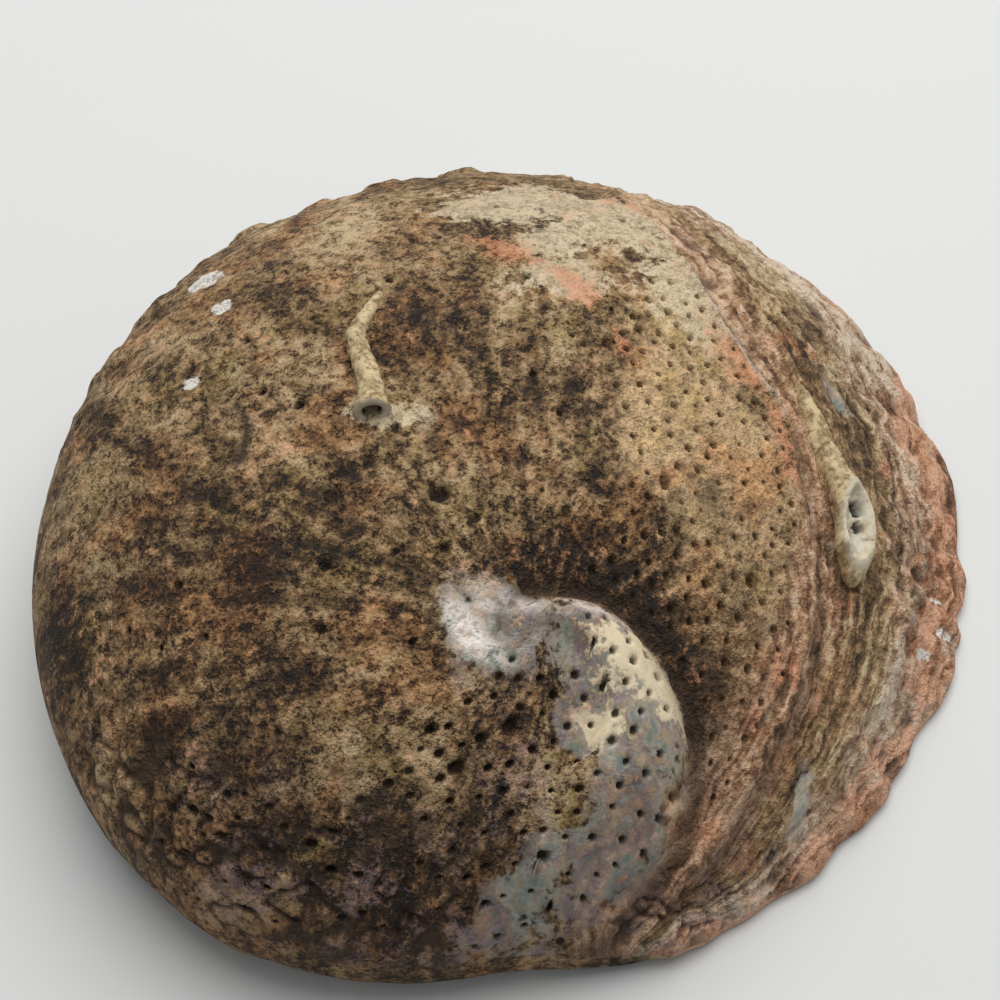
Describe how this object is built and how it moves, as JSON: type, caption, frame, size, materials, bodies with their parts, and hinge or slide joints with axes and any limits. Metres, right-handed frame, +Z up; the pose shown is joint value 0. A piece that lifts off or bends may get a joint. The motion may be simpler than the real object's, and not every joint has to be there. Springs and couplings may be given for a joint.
{
  "type": "abalone shell",
  "caption": "Worn, crusted abalone shell resting on its opening: low dome, small spire, layered lip, row of pores, worm tubes on its back.",
  "frame": {"origin": "on the ground under the middle of the shell's box", "axes": "+X to the shell's front end, +Y to its left side with the row of pores, +Z up, opening down"},
  "size_m": [0.1798, 0.1554, 0.055],
  "materials": {
    "shell": "rough brown crust, worn to pearly nacre at the spire and inside",
    "worm_lime": "dull cream lime"
  },
  "bodies": {
    "root": {"shell": "shell", "worm_tube": "worm_lime", "snail_tube": "worm_lime"}
  },
  "joints": []
}
